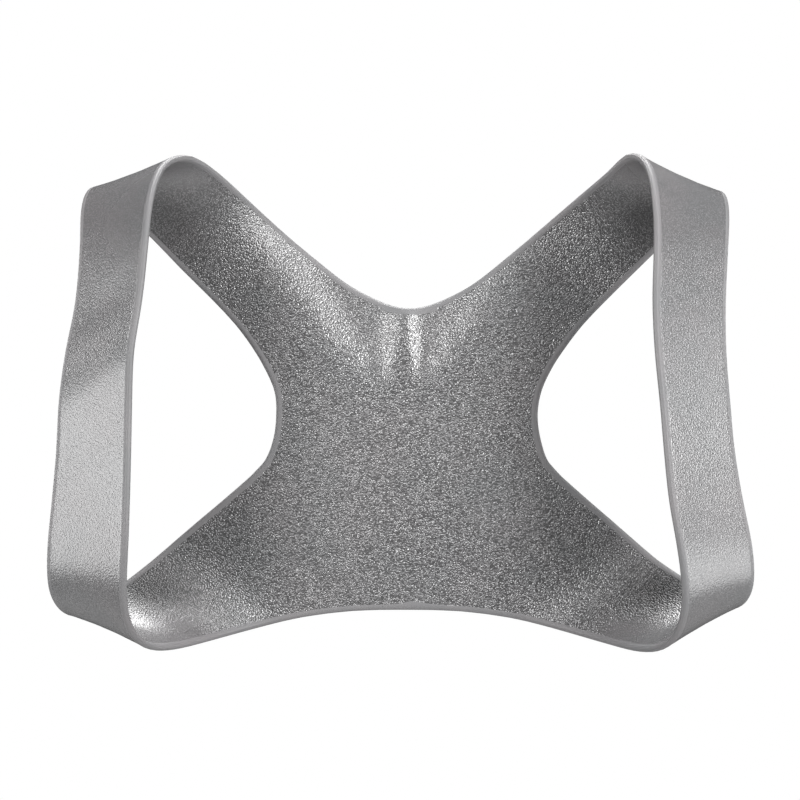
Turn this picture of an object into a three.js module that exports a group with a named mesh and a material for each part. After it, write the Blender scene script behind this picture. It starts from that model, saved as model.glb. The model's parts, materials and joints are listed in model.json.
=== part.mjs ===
// A posture brace moulded in one piece from a soft, rubbery plastic. An X-shaped panel lies on the
// upper back. Its upper and lower arm meet on each side in a wide front band, so that each side is
// a closed loop that an arm goes through.
// Millimetres, +Z up, +X to the wearer's left, and the wearer stands on the -Y side.
// The origin is on the inner face of the panel, in its middle, between the shoulder blades.

import * as THREE from "three";
import { mergeVertices } from "three/addons/utils/BufferGeometryUtils.js";

// Driving sizes
const width = 316; // over both front bands
const height = 226; // from the crest of the lower folds to the crest of the upper ones
const loopDepth = 84; // how far the front bands stand before the panel
const backCurve = 8; // how far the panel curves forward from its middle to the full width
const wall = 3.2; // thickness of the moulding
const edgeRound = 1.1; // radius of the two corners of every edge
const fluteDepth = 4.6; // how far the flutes lie behind the panel at the neckline
const waveHeight = 1.6; // push forward of the soft bends in the front bands
const bandShares = [0.4, 0.65]; // shares of the loop's depth between which a fold turns into a band

// The mesh
const stepsAcross = 11; // from the armhole edge to the outer edge
const centreEase = 1.5; // above 1, the steps across get shorter towards the panel's centre line
const centreReach = 0.35; // share of half the width over which that holds
const lengthEase = 1.3; // above 1, the rows get closer up the centre line, towards the neck
const cornerSteps = 2; // over each rounded corner of an edge
const weldGap = 1e-3; // points closer than this are one

// One side of the brace, as a ring of sections around the armhole. Each runs across the moulding
// from the armhole edge, called the hole, to the outer edge, called the rim. Out is a share of half
// the width, up of half the height and forward of the loop's depth. Lean is how far both sides
// stand towards +X there, as a share of half the width, and droop how far the -X side hangs below
// the +X side, as a share of half the height. Steps is the number of mesh steps to the next section.
const columns = [
  "name", "steps", "rimOut", "rimUp", "rimForward", "rimLean",
  "holeOut", "holeUp", "holeForward", "holeLean", "holeDroop",
];
const armSections = [
  ["neck corner", 6, 0, 0.38, 0, 0.01, 0.42, 0.148, 0, 0.006, 0],
  ["neck slope", 4, 0.16, 0.457, 0, 0.012, 0.46, 0.238, 0, 0.008, 0],
  ["shoulder blade", 2, 0.294, 0.596, 0, 0.012, 0.51, 0.331, 0, 0.009, 0],
  ["upper arm", 2, 0.4, 0.722, 0.02, 0.013, 0.576, 0.43, 0, 0.01, 0],
  ["upper fold in", 2, 0.505, 0.852, 0.12, 0.019, 0.672, 0.565, 0.05, 0.011, 0],
  ["upper fold rise", 2, 0.573, 0.934, 0.255, 0.024, 0.75, 0.678, 0.125, 0.012, -0.004],
  ["upper fold crest", 2, 0.632, 0.994, 0.44, 0.015, 0.833, 0.79, 0.235, 0.009, -0.01],
  ["upper fold brow", 2, 0.677, 0.965, 0.62, 0.008, 0.885, 0.852, 0.355, 0.006, -0.012],
  ["upper fold fall", 2, 0.697, 0.885, 0.78, 0.006, 0.908, 0.838, 0.48, 0.006, -0.01],
  ["upper fold out", 2, 0.706, 0.775, 0.895, 0.004, 0.914, 0.762, 0.585, 0.005, -0.006],
  ["band top", 3, 0.71, 0.635, 0.965, 0.002, 0.91, 0.645, 0.645, 0.004, 0],
  ["band chest", 3, 0.716, 0.4, 0.99, -0.009, 0.911, 0.405, 0.67, -0.006, 0],
  ["band upper middle", 3, 0.729, 0.2, 1, -0.016, 0.926, 0.204, 0.672, -0.02, 0],
  ["band middle", 3, 0.739, 0, 1, -0.012, 0.94, 0, 0.668, -0.023, 0],
  ["band lower middle", 3, 0.746, -0.19, 1, -0.008, 0.95, -0.19, 0.665, -0.021, 0],
  ["band ribs", 3, 0.755, -0.38, 0.99, -0.003, 0.968, -0.385, 0.658, -0.016, 0],
  ["band foot", 2, 0.77, -0.57, 0.97, 0.006, 0.99, -0.585, 0.64, -0.009, 0.004],
  ["lower fold out", 2, 0.78, -0.705, 0.93, 0.009, 0.995, -0.715, 0.595, -0.007, 0.01],
  ["lower fold fall", 2, 0.782, -0.81, 0.86, 0.009, 0.986, -0.788, 0.515, -0.006, 0.015],
  ["lower fold brow", 2, 0.77, -0.91, 0.74, 0.007, 0.963, -0.835, 0.41, -0.004, 0.019],
  ["lower fold crest", 2, 0.735, -0.98, 0.58, 0.003, 0.926, -0.84, 0.287, -0.002, 0.018],
  ["lower fold keel", 2, 0.681, -1, 0.41, 0, 0.881, -0.81, 0.175, 0, 0.012],
  ["lower fold rise", 2, 0.608, -0.988, 0.225, 0, 0.817, -0.745, 0.08, 0, 0.006],
  ["lower fold in", 2, 0.514, -0.957, 0.105, 0, 0.742, -0.668, 0.02, -0.002, 0],
  ["lower arm", 2, 0.414, -0.922, 0.03, 0, 0.672, -0.583, 0, -0.003, 0],
  ["lower ribs", 2, 0.312, -0.89, 0.005, 0, 0.594, -0.488, 0, -0.002, 0],
  ["hem slope", 2, 0.16, -0.863, 0, 0, 0.498, -0.372, 0, -0.001, 0],
  ["hem corner", 0, 0, -0.858, 0, 0, 0.418, -0.262, 0, 0, 0],
];

// Between the corners of the hem and the neck the two sides meet on the centre line, so these
// sections only give the armhole edge.
const waistSections = [
  ["low waist", 0.391, -0.17, 0.002],
  ["waist", 0.38, -0.058, 0.002],
  ["high waist", 0.388, 0.045, 0.005],
];
const waistColumns = ["name", "holeOut", "holeUp", "holeLean"];
const waistSteps = 6; // mesh steps from each of these sections to the next

// Soft bends across the front bands: the side, how high the bend lies where the band's middle line
// crosses it, how far it spreads, and how much higher it lies at the rim than in the middle, all as
// shares of half the height. The last is its push forward as a share of waveHeight.
const waveColumns = ["side", "up", "spread", "slant", "share"];
const waves = [
  [-1, 0.33, 0.14, 0.1, -1],
  [-1, 0.08, 0.14, 0.1, 1],
  [1, -0.24, 0.3, 0, 0.8],
];

// Two flutes that run up the panel to the neckline, each like a part of a cone: it starts at a tip
// and gets wider with the distance from there, and deeper, fastest near the tip. The tip is given as
// shares of half the width and half the height. From and to are the angles of its two flanks,
// counted from +X, and soft is half the angle that a flank takes. Depth is a share of fluteDepth.
const fluteSwell = 0.7; // the power of the distance that the depth grows with
const fluteColumns = ["out", "up", "from", "to", "soft", "depth"];
const flutes = [
  [-0.071, 0.05, 82, 124, 6.5, 1],
  [0.041, 0.06, 62, 97, 6.5, 0.85],
];

const { radToDeg, smoothstep } = THREE.MathUtils;

// A table as objects, with the columns' names as keys
const asRows = (names, table) => table.map((row) => Object.fromEntries(names.map((n, i) => [n, row[i]])));

const arm = asRows(columns, armSections);
const waist = asRows(waistColumns, waistSections);

// A point of the sheet that runs in the middle of the wall, from shares of the driving sizes
function placed(side, { out, up, forward = 0, lean = 0, droop = 0 }) {
  const x = (width / 2 - edgeRound) * (side * out + lean);
  const y = -loopDepth * forward;
  const z = (height / 2 - wall / 2) * (up + side * droop);
  return new THREE.Vector3(x, y, z);
}

function rimPoint(side, s) {
  const { rimOut: out, rimUp: up, rimForward: forward, rimLean: lean } = s;
  return placed(side, { out, up, forward, lean });
}

function holePoint(side, s) {
  const { holeOut: out, holeUp: up, holeForward: forward, holeLean: lean, holeDroop: droop } = s;
  return placed(side, { out, up, forward, lean, droop });
}

// The rim runs once round the brace, over one side and back over the other. It starts at the neck.
const rimCurve = new THREE.CatmullRomCurve3(
  [...arm.map((s) => rimPoint(-1, s)), ...arm.slice(1, -1).reverse().map((s) => rimPoint(1, s))],
  true,
);

function rimAt(side, station) {
  const count = rimCurve.points.length;
  const turn = side < 0 ? station : count - station;
  return rimCurve.getPoint((turn % count) / count);
}

function holeCurve(side) {
  const points = [...arm, ...waist].map((s) => holePoint(side, s));
  return new THREE.CatmullRomCurve3(points, true);
}

// How far the flutes lie behind the panel at one of its points
function fluteSink(point) {
  return asRows(fluteColumns, flutes).reduce((sum, f) => {
    const dx = point.x - (f.out * width) / 2;
    const dz = point.z - (f.up * height) / 2;
    const reach = Math.hypot(dx, dz) / (rimAt(1, 0).z - (f.up * height) / 2);
    const angle = radToDeg(Math.atan2(dz, dx));
    const inside = (Math.tanh((angle - f.from) / f.soft) - Math.tanh((angle - f.to) / f.soft)) / 2;
    return sum + fluteDepth * f.depth * reach ** fluteSwell * inside;
  }, 0);
}

// Push of the soft bends at a point of the front bands, with none on the panel
function wavePush(side, point, across) {
  const onBand = smoothstep(-point.y / loopDepth, ...bandShares);
  const up = point.z / (height / 2);
  return asRows(waveColumns, waves)
    .filter((w) => w.side === side)
    .reduce((sum, w) => {
      const away = (up - w.up - w.slant * (2 * across - 1)) / w.spread;
      return sum + waveHeight * w.share * onBand * Math.exp(-(away ** 2));
    }, 0);
}

// Bends a point of the flat panel to the back, and gives it the flutes and the bands their bends.
// Across is the share of the way from the armhole edge to the rim.
function bent(side, point, across) {
  const curve = backCurve * (point.x / (width / 2)) ** 2;
  const forward = curve - fluteSink(point) + wavePush(side, point, across);
  return new THREE.Vector3(point.x, point.y + wall / 2 - forward, point.z);
}

// One side as rows of points, a row for each mesh step round the armhole
function sideRows(side) {
  const hole = holeCurve(side);
  const count = hole.points.length;
  const across = (from, to) => {
    const nearCentre = 1 - smoothstep(Math.abs(to.x), 0, centreReach * (width / 2));
    const ease = 1 + (centreEase - 1) * nearCentre;
    return Array.from({ length: stepsAcross + 1 }, (_, j) => {
      const share = 1 - (1 - j / stepsAcross) ** ease;
      return bent(side, from.clone().lerp(to, share), share);
    });
  };
  const rows = [];
  arm.forEach((s, i) => {
    for (let k = 0; k < s.steps; k++) {
      const station = i + k / s.steps;
      rows.push(across(hole.getPoint(station / count), rimAt(side, station)));
    }
  });
  const hem = rimAt(side, arm.length - 1);
  const neck = rimAt(side, 0);
  const first = arm.length - 1;
  const waistSpans = waist.length + 1;
  for (let k = 0; k < waistSpans * waistSteps; k++) {
    const station = first + k / waistSteps;
    const along = 1 - (1 - k / (waistSpans * waistSteps)) ** lengthEase;
    rows.push(across(hole.getPoint(station / count), hem.clone().lerp(neck, along)));
  }
  return rows;
}

// Both sides as one open sheet, joined along the centre line, with its faces turned to the wearer
function middleSheet() {
  const positions = [];
  const index = [];
  for (const side of [-1, 1]) {
    const rows = sideRows(side);
    const start = positions.length / 3;
    rows.flat().forEach((p) => positions.push(p.x, p.y, p.z));
    const at = (i, j) => start + (i % rows.length) * (stepsAcross + 1) + j;
    for (let i = 0; i < rows.length; i++) {
      for (let j = 0; j < stepsAcross; j++) {
        const corners = [at(i, j), at(i, j + 1), at(i + 1, j + 1), at(i + 1, j)];
        const [a, b, c, d] = side < 0 ? corners : corners.reverse();
        index.push(a, b, c, a, c, d);
      }
    }
  }
  const sheet = new THREE.BufferGeometry();
  sheet.setAttribute("position", new THREE.Float32BufferAttribute(positions, 3));
  sheet.setIndex(index);
  const joined = mergeVertices(sheet, weldGap);
  joined.computeVertexNormals();
  return joined;
}

// The edges of a sheet that belong to one triangle only, as a map from each edge's start to its end
function openEdges(index) {
  const paired = new Set();
  for (let i = 0; i < index.length; i += 3) {
    for (let k = 0; k < 3; k++) paired.add(index[i + k] + ">" + index[i + ((k + 1) % 3)]);
  }
  const next = new Map();
  for (const edge of paired) {
    const [from, to] = edge.split(">").map(Number);
    if (!paired.has(to + ">" + from)) next.set(from, to);
  }
  return next;
}

// The outline of an edge from the inner face to the outer face: reach is how far a point stands out
// beyond the sheet, rise how far it lies from the sheet towards the wearer.
function edgeProfile() {
  const corner = Array.from({ length: cornerSteps }, (_, k) => {
    const angle = (Math.PI / 2) * (1 - (k + 1) / cornerSteps);
    return { reach: edgeRound * Math.cos(angle), rise: wall / 2 - edgeRound + edgeRound * Math.sin(angle) };
  });
  return [...corner, ...corner.map((p) => ({ reach: p.reach, rise: -p.rise })).reverse()];
}

function vectorsOf(attribute) {
  const each = { length: attribute.count };
  return Array.from(each, (_, i) => new THREE.Vector3().fromBufferAttribute(attribute, i));
}

// Gives a sheet its wall, with rounded edges, as one closed solid
function walled(sheet) {
  const index = Array.from(sheet.getIndex().array);
  const points = vectorsOf(sheet.getAttribute("position"));
  const normals = vectorsOf(sheet.getAttribute("normal"));
  const count = points.length;

  const inner = points.map((p, i) => p.clone().addScaledVector(normals[i], wall / 2));
  const outer = points.map((p, i) => p.clone().addScaledVector(normals[i], -wall / 2));
  const vertices = [...inner, ...outer];
  const faces = [...index];
  for (let i = 0; i < index.length; i += 3) {
    const [a, b, c] = index.slice(i, i + 3);
    faces.push(a + count, c + count, b + count);
  }

  const next = openEdges(index);
  const previous = new Map([...next].map(([from, to]) => [to, from]));
  const strip = new Map();
  for (const [from, to] of next) {
    const along = points[to].clone().sub(points[previous.get(from)]);
    const outward = along.cross(normals[from]).normalize();
    const ring = edgeProfile().map(({ reach, rise }) => {
      const point = points[from].clone().addScaledVector(outward, reach);
      vertices.push(point.addScaledVector(normals[from], rise));
      return vertices.length - 1;
    });
    strip.set(from, [from, ...ring, from + count]);
  }
  for (const [from, to] of next) {
    const here = strip.get(from);
    const there = strip.get(to);
    for (let k = 0; k + 1 < here.length; k++) {
      faces.push(here[k], here[k + 1], there[k + 1]);
      faces.push(here[k], there[k + 1], there[k]);
    }
  }

  const solid = new THREE.BufferGeometry();
  solid.setAttribute("position", new THREE.Float32BufferAttribute(vertices.flatMap((v) => v.toArray()), 3));
  solid.setIndex(faces);
  solid.computeVertexNormals();
  return solid;
}

function mouldedBrace() {
  const rubber = new THREE.MeshStandardMaterial({ color: 0x848285, roughness: 0.55, metalness: 0 });
  const brace = new THREE.Mesh(walled(middleSheet()), rubber);
  brace.name = "moulded_brace";
  return brace;
}

const part = new THREE.Group();
part.add(mouldedBrace());

export default part;
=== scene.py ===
# %% [markdown]
# A moulded posture brace.
#
# The real thing is one piece of soft, rubbery plastic. A panel shaped like an X lies on the upper
# back, and its arms fold forward at each side into a wide band, so that an arm goes through each
# loop. This lesson starts from the plain solid of that moulding. It adds what the mould leaves on
# the surface, gives the rubber its finish, and lights it like a product photograph.

# %% The frame
import json
import math

import bmesh
import bpy
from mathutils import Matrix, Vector

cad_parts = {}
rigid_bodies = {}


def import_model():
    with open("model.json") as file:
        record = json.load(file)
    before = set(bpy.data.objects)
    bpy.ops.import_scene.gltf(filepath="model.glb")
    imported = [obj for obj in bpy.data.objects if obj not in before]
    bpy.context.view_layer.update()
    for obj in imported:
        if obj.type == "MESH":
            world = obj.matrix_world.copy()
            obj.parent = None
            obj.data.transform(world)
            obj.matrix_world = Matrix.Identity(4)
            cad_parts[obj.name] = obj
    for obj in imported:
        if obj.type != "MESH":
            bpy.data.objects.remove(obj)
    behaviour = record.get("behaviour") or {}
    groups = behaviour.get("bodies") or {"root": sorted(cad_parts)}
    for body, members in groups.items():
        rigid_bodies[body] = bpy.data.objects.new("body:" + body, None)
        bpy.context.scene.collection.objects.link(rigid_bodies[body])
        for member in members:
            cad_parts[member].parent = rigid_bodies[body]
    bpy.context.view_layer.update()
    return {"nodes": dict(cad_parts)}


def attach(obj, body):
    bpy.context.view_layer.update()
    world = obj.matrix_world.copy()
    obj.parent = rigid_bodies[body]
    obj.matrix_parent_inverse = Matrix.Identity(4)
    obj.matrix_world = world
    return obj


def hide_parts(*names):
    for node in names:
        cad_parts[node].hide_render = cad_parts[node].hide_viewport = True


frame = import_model()
bpy.ops.object.select_all(action="DESELECT")

# %% [markdown]
# The camera.
#
# The brace is seen from the front, level with its middle and a touch from one side. A long lens
# from more than a metre away keeps the two sides alike, as in a catalogue picture. The focal length
# follows from how much of the panel's plane fits across the frame.

# %% The camera
looked_at = Vector((-0.0028, 0, 0.0009))
camera_distance = 1.3
camera_turn = math.radians(2)
frame_width = 0.3723
nearest_seen = 0.05

bpy.ops.object.camera_add()
camera = bpy.context.object
towards_camera = Vector((math.sin(camera_turn), -math.cos(camera_turn), 0))
camera.location = looked_at + camera_distance * towards_camera
camera.rotation_euler = (math.pi / 2, 0, camera_turn)
camera.data.lens = camera.data.sensor_width * camera_distance / frame_width
camera.data.clip_start = nearest_seen
bpy.context.scene.camera = camera
print("Focal length in millimetres:", round(camera.data.lens, 1))

# %% [markdown]
# A copy of the solid.
#
# The folds and the flutes are already in the solid, so it would be a waste to model them again. A
# copy of its mesh is the start. An imported mesh is made of loose triangles. Merging the corners
# that lie on each other makes it one skin, and turning pairs of triangles into quads gives it the
# rows of faces that insets and subdivision like.

# %% A copy of the solid
weld_distance = 1e-5
preference_for_rows = 1.5

solid = frame["nodes"]["moulded_brace"]
brace = bpy.data.objects.new("grained_brace", solid.data.copy())
bpy.context.scene.collection.objects.link(brace)
bpy.context.view_layer.objects.active = brace
brace.select_set(True)
brace.data.materials.clear()

bpy.ops.object.mode_set(mode="EDIT")
bpy.ops.mesh.select_all(action="SELECT")
bpy.ops.mesh.remove_doubles(threshold=weld_distance)
bpy.ops.mesh.tris_convert_to_quads(
    face_threshold=math.pi, shape_threshold=math.pi, topology_influence=preference_for_rows
)
skin = bmesh.from_edit_mesh(brace.data)
print("Faces:", len(skin.faces), "of them triangles:", sum(len(f.verts) == 3 for f in skin.faces))

# %% [markdown]
# The faces of the two sides.
#
# The next steps need the two large sides apart from the narrow rim between them. The faces of the
# rim are all narrow strips, less than a millimetre across, and those of the sides are wider. The
# area of a face divided by its longest edge gives that width.

# %% The faces of the two sides
widest_rim_face = 0.00112


def select_faces(wanted):
    """Selects the faces of the brace that wanted says yes to, and returns how many they are."""
    bpy.ops.mesh.select_all(action="DESELECT")
    skin = bmesh.from_edit_mesh(brace.data)
    for face in skin.faces:
        face.select_set(wanted(face))
    bmesh.update_edit_mesh(brace.data)
    return sum(face.select for face in skin.faces)


def on_a_side(face):
    """Whether a face is wide enough to lie on a side of the moulding and not on its rim."""
    return face.calc_area() / max(edge.calc_length() for edge in face.edges) > widest_rim_face


bpy.ops.mesh.select_mode(type="FACE")
print("Faces on both sides:", select_faces(on_a_side))

# %% [markdown]
# The parting line.
#
# A mould for a piece like this has two halves that meet in the middle of the rim, and they leave a
# hair of a ridge all round it. Growing the selection of the sides twice and turning it over leaves
# the middle strip of the rim. An inset narrows it to the width of the ridge, and pushing the strip
# out along its normals raises it. A crease keeps its edges from being rounded away later.

# %% The parting line
ridge_inset = 0.0003
ridge_height = 0.00018
crispness = 0.4

bpy.ops.mesh.select_more()
bpy.ops.mesh.select_more()
bpy.ops.mesh.select_all(action="INVERT")
skin = bmesh.from_edit_mesh(brace.data)
print("Faces in the middle of the rim:", sum(face.select for face in skin.faces))
bpy.ops.mesh.inset(thickness=ridge_inset, use_even_offset=True)
bpy.ops.transform.shrink_fatten(value=ridge_height)
bpy.ops.transform.edge_crease(value=crispness)

# %% [markdown]
# The border and its step.
#
# The grain of the moulding stops about two millimetres before every edge, at a fine step, and the
# border beyond it is smooth. Two insets of both sides make that: the first as wide as the border,
# the second as narrow as the step and a little deeper. The faces that are left inside get the
# second material slot, for the grained rubber.

# %% The border and its step
border_width = 0.001
step_width = 0.0003
step_depth = 0.00007

for name in ("smooth_rubber", "pebbled_rubber"):
    brace.data.materials.append(bpy.data.materials.new(name))

print("Faces on both sides:", select_faces(on_a_side))
bpy.ops.mesh.inset(thickness=border_width, use_even_offset=True)
bpy.ops.mesh.inset(thickness=step_width, depth=-step_depth, use_even_offset=True)
brace.active_material_index = 1
bpy.ops.object.material_slot_assign()
grained = sum(face.material_index == 1 for face in bmesh.from_edit_mesh(brace.data).faces)
print("Faces in the grained fields:", grained)
bpy.ops.mesh.region_to_loop()
bpy.ops.transform.edge_crease(value=crispness)
bpy.ops.object.mode_set(mode="OBJECT")

# %% [markdown]
# Smooth faces.
#
# The solid has flat facets of a few millimetres, and real rubber bends in even curves. One level
# of subdivision rounds them off, and smooth shading does the rest. The modifier is applied, because
# the next step stores values on the finished points.

# %% Smooth faces
smoothing = brace.modifiers.new("smooth faces", "SUBSURF")
smoothing.levels = smoothing.render_levels = 1
bpy.ops.object.modifier_apply(modifier=smoothing.name)
bpy.ops.object.shade_smooth()
print("Triangles:", sum(len(p.vertices) - 2 for p in brace.data.polygons))

# %% [markdown]
# Where the grain is strong, and where shade is painted into the folds.
#
# The grain isn't the same everywhere. It is crisp on the panel and the arms, pressed flatter on the
# front bands, and faint where the rubber is stretched round the crests of the folds. Wear rubs the
# skin glossy in the middle of the panel and on the bands, and leaves the arms a little duller. The
# inside of the folds gets painted shade, a darker colour where they face the middle. All three are
# stored on the points as attributes, which the materials read later.
#
# Each is worked out from the place of a point, with pairs of numbers that say where something
# starts and where it is complete: how far out to the side, how far forward or how high, in metres,
# and in a fold also how much the surface faces inwards.

# %% The grain, the polish and the painted fold shade as attributes
band_forward = (0.030, 0.050)
band_grain = 0.4
crest_up = (0.094, 0.1034)
crest_out = (0.08, 0.1)
crest_grain = 0.35
arm_out = (0.035, 0.065)
arm_polish = 0.75
fold_out = (0.08, 0.12)
fold_inward = (0.02, 0.35)
fold_up = (0.0846, 0.10152)


def eased(value, start, end):
    """Rises smoothly from 0 where value is start to 1 where it is end."""
    share = min(max((value - start) / (end - start), 0), 1)
    return share * share * (3 - 2 * share)


def band_share(point):
    """How much a point belongs to a front band, from 0 to 1."""
    return eased(-point.y, *band_forward)


def grain_at(point):
    """How strong the grain is, from 0 to 1."""
    on_crest = eased(abs(point.z), *crest_up) * eased(abs(point.x), *crest_out)
    return (1 - (1 - band_grain) * band_share(point)) * (1 - (1 - crest_grain) * on_crest)


def polish_at(point):
    """How glossy the skin is rubbed, from 0 to 1."""
    on_arm = eased(abs(point.x), *arm_out) * (1 - band_share(point))
    return 1 - (1 - arm_polish) * on_arm


def painted_shade_at(point, normal):
    """How deep a point lies in a fold and faces the middle, from 0 to 1, which is how much shade is
    painted there.
    """
    inward = -normal.x * math.copysign(1, point.x)
    in_fold = eased(abs(point.x), *fold_out) * (1 - band_share(point))
    return in_fold * eased(inward, *fold_inward) * (1 - eased(abs(point.z), *fold_up))


def store(name, values):
    """Keeps a number for each point of the brace, under a name that a material can read."""
    brace.data.attributes.new(name, "FLOAT", "POINT").data.foreach_set("value", values)
    print(name, "goes from", round(min(values), 2), "to", round(max(values), 2))


store("grain", [grain_at(v.co) for v in brace.data.vertices])
store("polish", [polish_at(v.co) for v in brace.data.vertices])
# The third attribute is the mask of the shade painted into the folds.
store("painted_shade", [painted_shade_at(v.co, v.normal) for v in brace.data.vertices])

# %% [markdown]
# Its place in the frame.
#
# The finished skin stands in for the plain solid, at the same place and size, and moves with the
# same body. The slot says what it is made of.

# %% Its place in the frame
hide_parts("moulded_brace")
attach(brace, "root")

# %% [markdown]
# The rubber.
#
# It is a grey elastomer with a satin skin. Its colour isn't quite even: faint clouds go from a
# cool to a brownish grey, the grain is darker between its pebbles and lighter on their tops, and
# shade is painted into the insides of the folds. The gloss varies too, because hands polish it in
# places and skin oil dulls it in others. The edges rub on clothes, which leaves the smooth border
# duller and a little paler than the field.
#
# The grain is a bump and not real geometry: its pebbles are less than a millimetre wide and far
# lower than that, so only their light and shade are ever seen. Soft cells make the pebbles, and a
# fine noise breaks up their rows. The border has no pebbles, only the faint unevenness of moulded
# rubber.

# %% The shader helpers
finer_share = 0.55
cloud_edges = (0.35, 0.65)
noise_reach = (0.3, 0.7)


def add_node(tree, kind, **inputs):
    """Adds a node of a kind to a material, with the values of its inputs."""
    node = tree.nodes.new("ShaderNode" + kind)
    for name, value in inputs.items():
        node.inputs[name].default_value = value
    return node


def attribute(tree, name):
    """Reads one of the numbers that are stored on the points."""
    node = tree.nodes.new("ShaderNodeAttribute")
    node.attribute_name = name
    return node.outputs["Fac"]


def noise(tree, place, scale, detail):
    """Noise from 0 to 1, with most of it near the middle. Detail is how many finer noises join in."""
    texture = add_node(tree, "TexNoise", Scale=scale, Detail=detail, Roughness=finer_share)
    tree.links.new(place, texture.inputs["Vector"])
    return texture.outputs["Fac"]


def cells(tree, place, scale):
    """Soft cells, 0 in the middle of each and about 1 where they meet."""
    texture = add_node(tree, "TexVoronoi", Scale=scale)
    texture.feature = "SMOOTH_F1"
    tree.links.new(place, texture.inputs["Vector"])
    return texture.outputs["Distance"]


def ramp(tree, factor, low, high):
    """A colour ramp over the middle of a factor, from the colour low to the colour high."""
    colours = tree.nodes.new("ShaderNodeValToRGB")
    for element, colour, position in zip(colours.color_ramp.elements, (low, high), cloud_edges):
        element.color = (*colour, 1)
        element.position = position
    tree.links.new(factor, colours.inputs["Fac"])
    return colours.outputs["Color"]


def spread(tree, factor, low, high, reach=noise_reach):
    """Spreads the part of a factor that reach holds over the numbers from low to high."""
    node = tree.nodes.new("ShaderNodeMapRange")
    for name, value in zip(("From Min", "From Max", "To Min", "To Max"), (*reach, low, high)):
        node.inputs[name].default_value = value
    tree.links.new(factor, node.inputs["Value"])
    return node.outputs["Result"]


def calculate(tree, operation, first, second):
    """A sum, difference or product of two values, each a socket or a number."""
    node = tree.nodes.new("ShaderNodeMath")
    node.operation = operation
    for socket, value in zip(node.inputs, (first, second)):
        if isinstance(value, (int, float)):
            socket.default_value = value
        else:
            tree.links.new(value, socket)
    return node.outputs["Value"]


def multiply_colour(tree, colour, factor):
    """A colour times a factor: darker below 1 and paler above it."""
    node = tree.nodes.new("ShaderNodeVectorMath")
    node.operation = "SCALE"
    tree.links.new(colour, node.inputs[0])
    tree.links.new(factor, node.inputs["Scale"])
    return node.outputs["Vector"]


# %% [markdown]
# Two finishes from one recipe.
#
# The border and the grained field are the same rubber, so one function makes both materials. It is
# told how deep the pebbles and the creases between them are, how rough, how glossy and how pale the
# skin is, and how much shade is painted into the folds.

# %% The two finishes
cool_grey = (0.126, 0.126, 0.129)
brown_grey = (0.141, 0.136, 0.139)
refraction = 1.6
cloud_scale = 32
cloud_detail = 3
skin_scale = 16
skin_change = 0.03
pebble_scale = 1450
pebble_reach = (0.05, 0.5)
crease_scale = 1200
crease_detail = 2
pebble_tone_contrast = 0.6


def rubber(name, pebble_depth, crease_depth, roughness, gloss, paleness, painted_fold_shade):
    """Makes the material of a name. Depths are in metres, and the rest are shares."""
    material = bpy.data.materials[name]
    material.use_nodes = True
    tree = material.node_tree
    shader = tree.nodes["Principled BSDF"]
    shader.inputs["IOR"].default_value = refraction
    place = tree.nodes.new("ShaderNodeTexCoord").outputs["Object"]
    grain = attribute(tree, "grain")
    polish = attribute(tree, "polish")
    painted_shade = attribute(tree, "painted_shade")

    low = [channel * paleness for channel in cool_grey]
    high = [channel * paleness for channel in brown_grey]
    tone = ramp(tree, noise(tree, place, cloud_scale, cloud_detail), low, high)
    # Painted shade: the fold mask darkens the colour and dims the gloss inside the folds.
    painted_darkening = calculate(tree, "MULTIPLY", painted_shade, painted_fold_shade)
    fold_shade_and_pebble_tone = calculate(tree, "SUBTRACT", 1, painted_darkening)
    smears = noise(tree, place, skin_scale, 0)
    skin = spread(tree, smears, roughness - skin_change, roughness + skin_change)
    tree.links.new(skin, shader.inputs["Roughness"])
    shine = calculate(tree, "MULTIPLY", calculate(tree, "MULTIPLY", fold_shade_and_pebble_tone, polish), gloss)
    tree.links.new(shine, shader.inputs["Specular IOR Level"])

    creases = noise(tree, place, crease_scale, crease_detail)
    relief = calculate(tree, "MULTIPLY", creases, crease_depth)
    if pebble_depth:
        valleys = cells(tree, place, pebble_scale)
        pebbles = calculate(tree, "MULTIPLY", valleys, pebble_depth)
        relief = calculate(tree, "SUBTRACT", relief, pebbles)
        # The colour is darker between the pebbles and lighter on their tops.
        pebble_tone = spread(tree, valleys, pebble_tone_contrast, -pebble_tone_contrast, pebble_reach)
        pebble_tone = calculate(tree, "MULTIPLY", pebble_tone, grain)
        fold_shade_and_pebble_tone = calculate(tree, "MULTIPLY", fold_shade_and_pebble_tone, calculate(tree, "ADD", pebble_tone, 1))
    bump = add_node(tree, "Bump", Distance=1)
    tree.links.new(relief, bump.inputs["Height"])
    tree.links.new(grain, bump.inputs["Strength"])
    tree.links.new(bump.outputs["Normal"], shader.inputs["Normal"])
    tree.links.new(multiply_colour(tree, tone, fold_shade_and_pebble_tone), shader.inputs["Base Color"])
    print(name, "has", len(tree.nodes), "nodes")


# Both finishes get painted shade in the folds, and the grained field gets more of it.
rubber(
    "smooth_rubber", pebble_depth=0, crease_depth=0.00003,
    roughness=0.5, gloss=0.3, paleness=1.15, painted_fold_shade=0.3,
)
rubber(
    "pebbled_rubber", pebble_depth=0.00026, crease_depth=0.000065,
    roughness=0.27, gloss=1, paleness=1, painted_fold_shade=0.78,
)

# %% [markdown]
# The lights.
#
# Rubber like this is lit from both sides. The left and the right softbox give the panel its even
# grey and put streaks on the flanks of the flutes, and the two high ones soften the shade between
# them. Those at the sides and the rims shine along the front bands. The one at the top reaches down
# into the lower folds, and the one behind lights the back. The upper insides stay dark, because the
# bands stand in the way of the side lights, and the shade painted into the folds darkens them more.

# %% The lights
light_distance = 1.3


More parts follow.
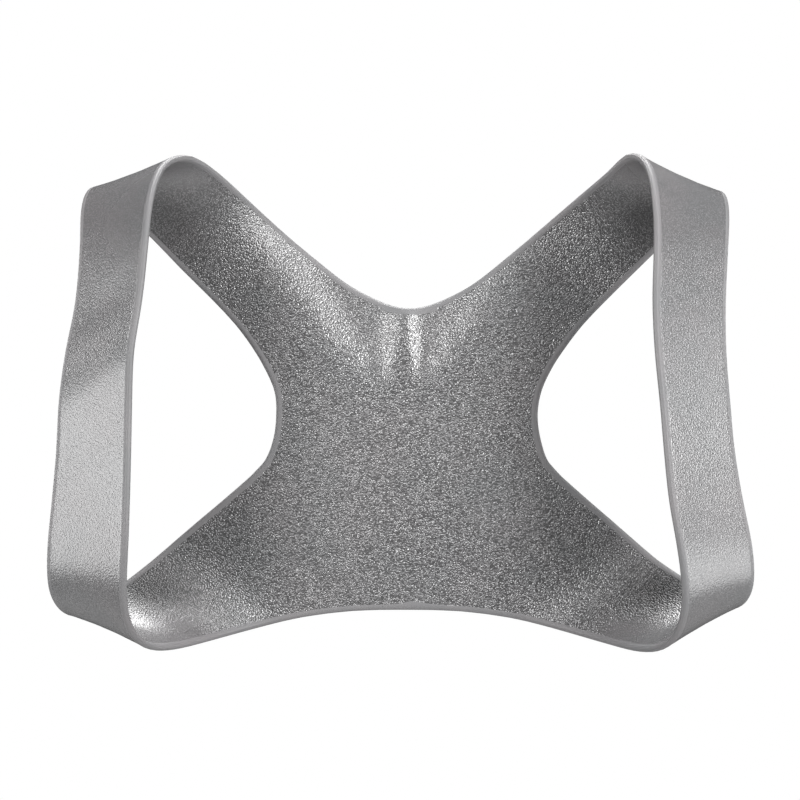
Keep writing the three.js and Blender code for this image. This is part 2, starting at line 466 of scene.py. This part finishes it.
def softbox(name, turn, rise, size, power):
    """A soft light, turned to the brace. Turn is from the front to +X, in degrees, and rise is up."""
    turn, rise = math.radians(turn), math.radians(rise)
    back = Vector((math.sin(turn) * math.cos(rise), -math.cos(turn) * math.cos(rise), math.sin(rise)))
    bpy.ops.object.light_add(type="AREA", location=back * light_distance)
    light = bpy.context.object
    light.name = name
    light.rotation_euler = back.to_track_quat("Z", "Y").to_euler()
    light.data.shape = "RECTANGLE"
    light.data.size, light.data.size_y = size
    light.data.energy = power
    print(name, "shines with", power, "W")


softbox("left softbox", -38, 4, (0.4, 0.6), 12)
softbox("right softbox", 40, 8, (0.4, 0.6), 17)
softbox("high middle softbox", 0, 25, (0.45, 0.45), 2)
softbox("high right softbox", 50, 40, (0.45, 0.45), 5)
softbox("left side softbox", -80, -8, (0.45, 0.6), 4)
softbox("right side softbox", 80, -20, (0.45, 0.6), 3)
softbox("left rim softbox", -108, 5, (0.45, 0.6), 6)
softbox("right rim softbox", 98, 0, (0.45, 0.6), 7)
softbox("top softbox", 0, 80, (0.6, 0.6), 15)
softbox("back softbox", 180, 62, (0.6, 0.6), 18)

# %% [markdown]
# The white room.
#
# The picture's ground is pure white. The world is white where the camera sees it, and much dimmer
# for the light that falls on the brace, so that the softboxes decide its shading.

# %% The white room
white = (1, 1, 1, 1)
room_light = 0.03

world = bpy.data.worlds.new("white room")
bpy.context.scene.world = world
world.use_nodes = True
tree = world.node_tree
seen = tree.nodes["Background"]
seen.inputs["Color"].default_value = white
seen.inputs["Strength"].default_value = 1
shed = tree.nodes.new("ShaderNodeBackground")
shed.inputs["Color"].default_value = white
shed.inputs["Strength"].default_value = room_light
ray = tree.nodes.new("ShaderNodeLightPath")
mix = tree.nodes.new("ShaderNodeMixShader")
tree.links.new(ray.outputs["Is Camera Ray"], mix.inputs["Fac"])
tree.links.new(shed.outputs[0], mix.inputs[1])
tree.links.new(seen.outputs[0], mix.inputs[2])
tree.links.new(mix.outputs[0], tree.nodes["World Output"].inputs["Surface"])
bpy.context.scene.view_settings.view_transform = "Standard"
print("The room sheds", room_light, "of the white that the camera sees")

# %% [markdown]
# The floor.
#
# The brace is shown in the form that it has when worn, so it hangs in the air, high over a pale
# floor. The softboxes are too small to light so wide a floor, so its paint glows, but only where the
# camera sees it, as the world does. The light on the brace stays as it is.

# %% The floor
floor_depth = 1.25
floor_radius = 4
floor_grey = 0.8
floor_roughness = 0.7
floor_glow = 0.85

bpy.ops.mesh.primitive_circle_add(
    vertices=96, radius=floor_radius, fill_type="NGON", location=(0, 0, -floor_depth)
)
floor = bpy.context.object
floor.name = "pale_floor"
paint = bpy.data.materials.new("pale_paint")
paint.use_nodes = True
finish = paint.node_tree.nodes["Principled BSDF"]
finish.inputs["Base Color"].default_value = (floor_grey, floor_grey, floor_grey, 1)
finish.inputs["Roughness"].default_value = floor_roughness
finish.inputs["Emission Color"].default_value = (floor_glow, floor_glow, floor_glow, 1)
ray = paint.node_tree.nodes.new("ShaderNodeLightPath")
paint.node_tree.links.new(ray.outputs["Is Camera Ray"], finish.inputs["Emission Strength"])
floor.data.materials.append(paint)
print("The floor lies", floor_depth, "m below the middle of the brace")
